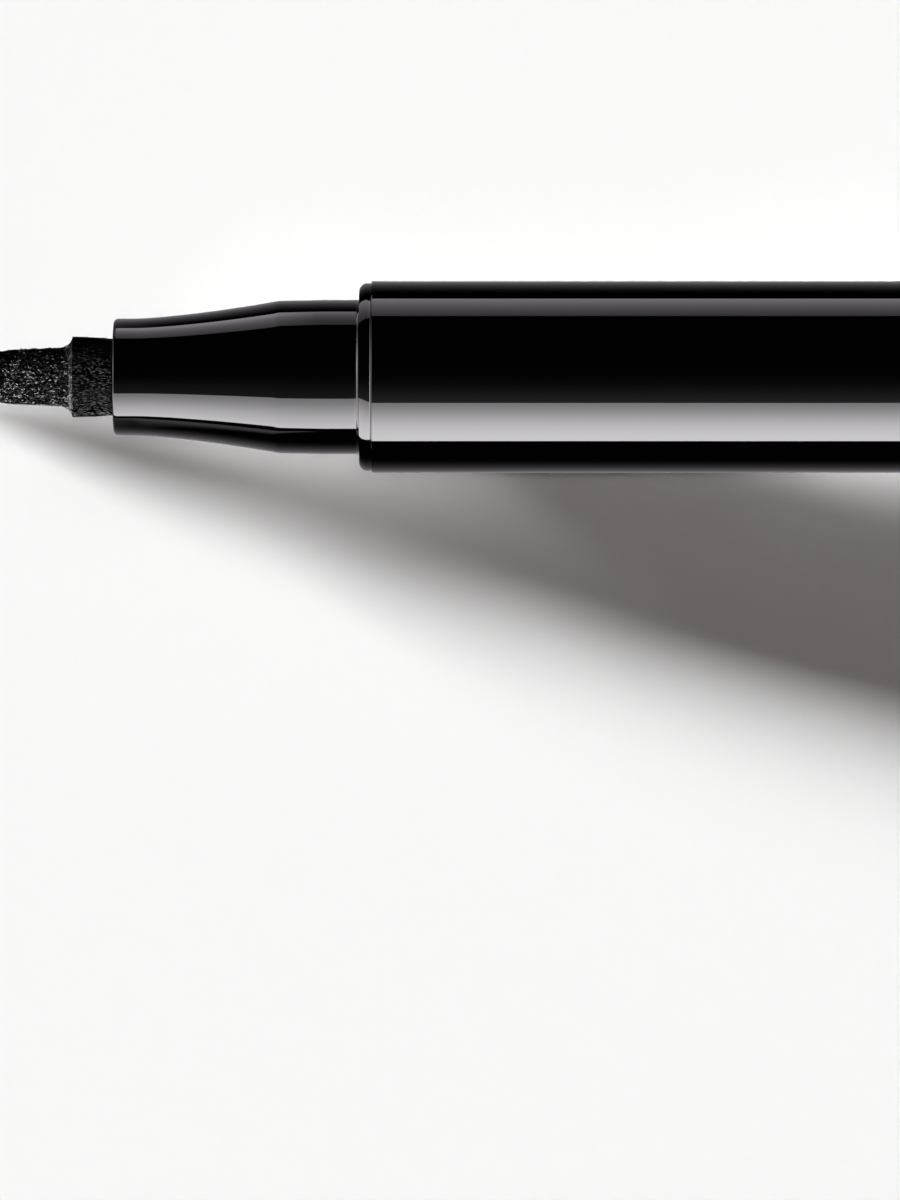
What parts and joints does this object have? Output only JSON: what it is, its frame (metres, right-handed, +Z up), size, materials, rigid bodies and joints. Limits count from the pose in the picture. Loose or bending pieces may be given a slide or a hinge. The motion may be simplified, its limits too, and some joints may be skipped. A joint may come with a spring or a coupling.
{
  "type": "liquid eyeliner pen",
  "caption": "Slim round felt-tip liquid eyeliner pen with its cap pulled off in front: nib, nose section, finned ink collector, tank with mixing ball, and a cap with a sprung inner cap.",
  "frame": {"origin": "on the surface that the pen lies on, under the middle of the whole part from the cap's closed end to the tail", "axes": "+X along the pen from the nib to the tail, +Z up from the surface, +Y across the pen"},
  "size_m": [0.1754, 0.0104, 0.0105],
  "materials": {
    "gloss_black": "piano-black high gloss",
    "ring_black": "black high gloss",
    "felt": "bonded black fibre, damp with ink",
    "wick_fibre": "bundled fibre stained by ink",
    "natural_plastic": "natural moulded plastic",
    "tank_plastic": "cloudy moulded plastic",
    "seal_rubber": "plain rubber",
    "ball_steel": "polished stainless steel",
    "liner_black": "satin black moulded plastic",
    "soft_white": "soft white moulded plastic",
    "spring_steel": "drawn stainless wire"
  },
  "bodies": {
    "pen": {"felt_nib": "felt", "nib_holder": "natural_plastic", "nose_section": "gloss_black", "shoulder_ring": "ring_black", "relay_wick": "wick_fibre", "collector": "natural_plastic", "collector_seal": "seal_rubber", "ink_tank": "tank_plastic", "tank_stopper": "natural_plastic", "barrel": "gloss_black", "tail_plug": "gloss_black"},
    "ball": {"mixing_ball": "ball_steel"},
    "cap": {"cap_shell": "gloss_black", "cap_liner": "liner_black", "cap_spring": "spring_steel"},
    "inner_cap": {"inner_cap": "soft_white"}
  },
  "joints": [
    {"name": "cap_slide", "type": "slide", "parent": "pen", "child": "cap", "axis": [1, 0, 0], "range_m": [0, 0.03888]},
    {"name": "inner_cap_slide", "type": "slide", "parent": "cap", "child": "inner_cap", "axis": [-1, 0, 0], "range_m": [0, 0.0015], "stiffness_N_per_m": 150, "springref_m": -0.004, "deforming": ["cap_spring"]},
    {"name": "ball_roll", "type": "slide", "parent": "pen", "child": "ball", "axis": [1, 0, 0], "range_m": [-0.012, 0.02735]}
  ]
}
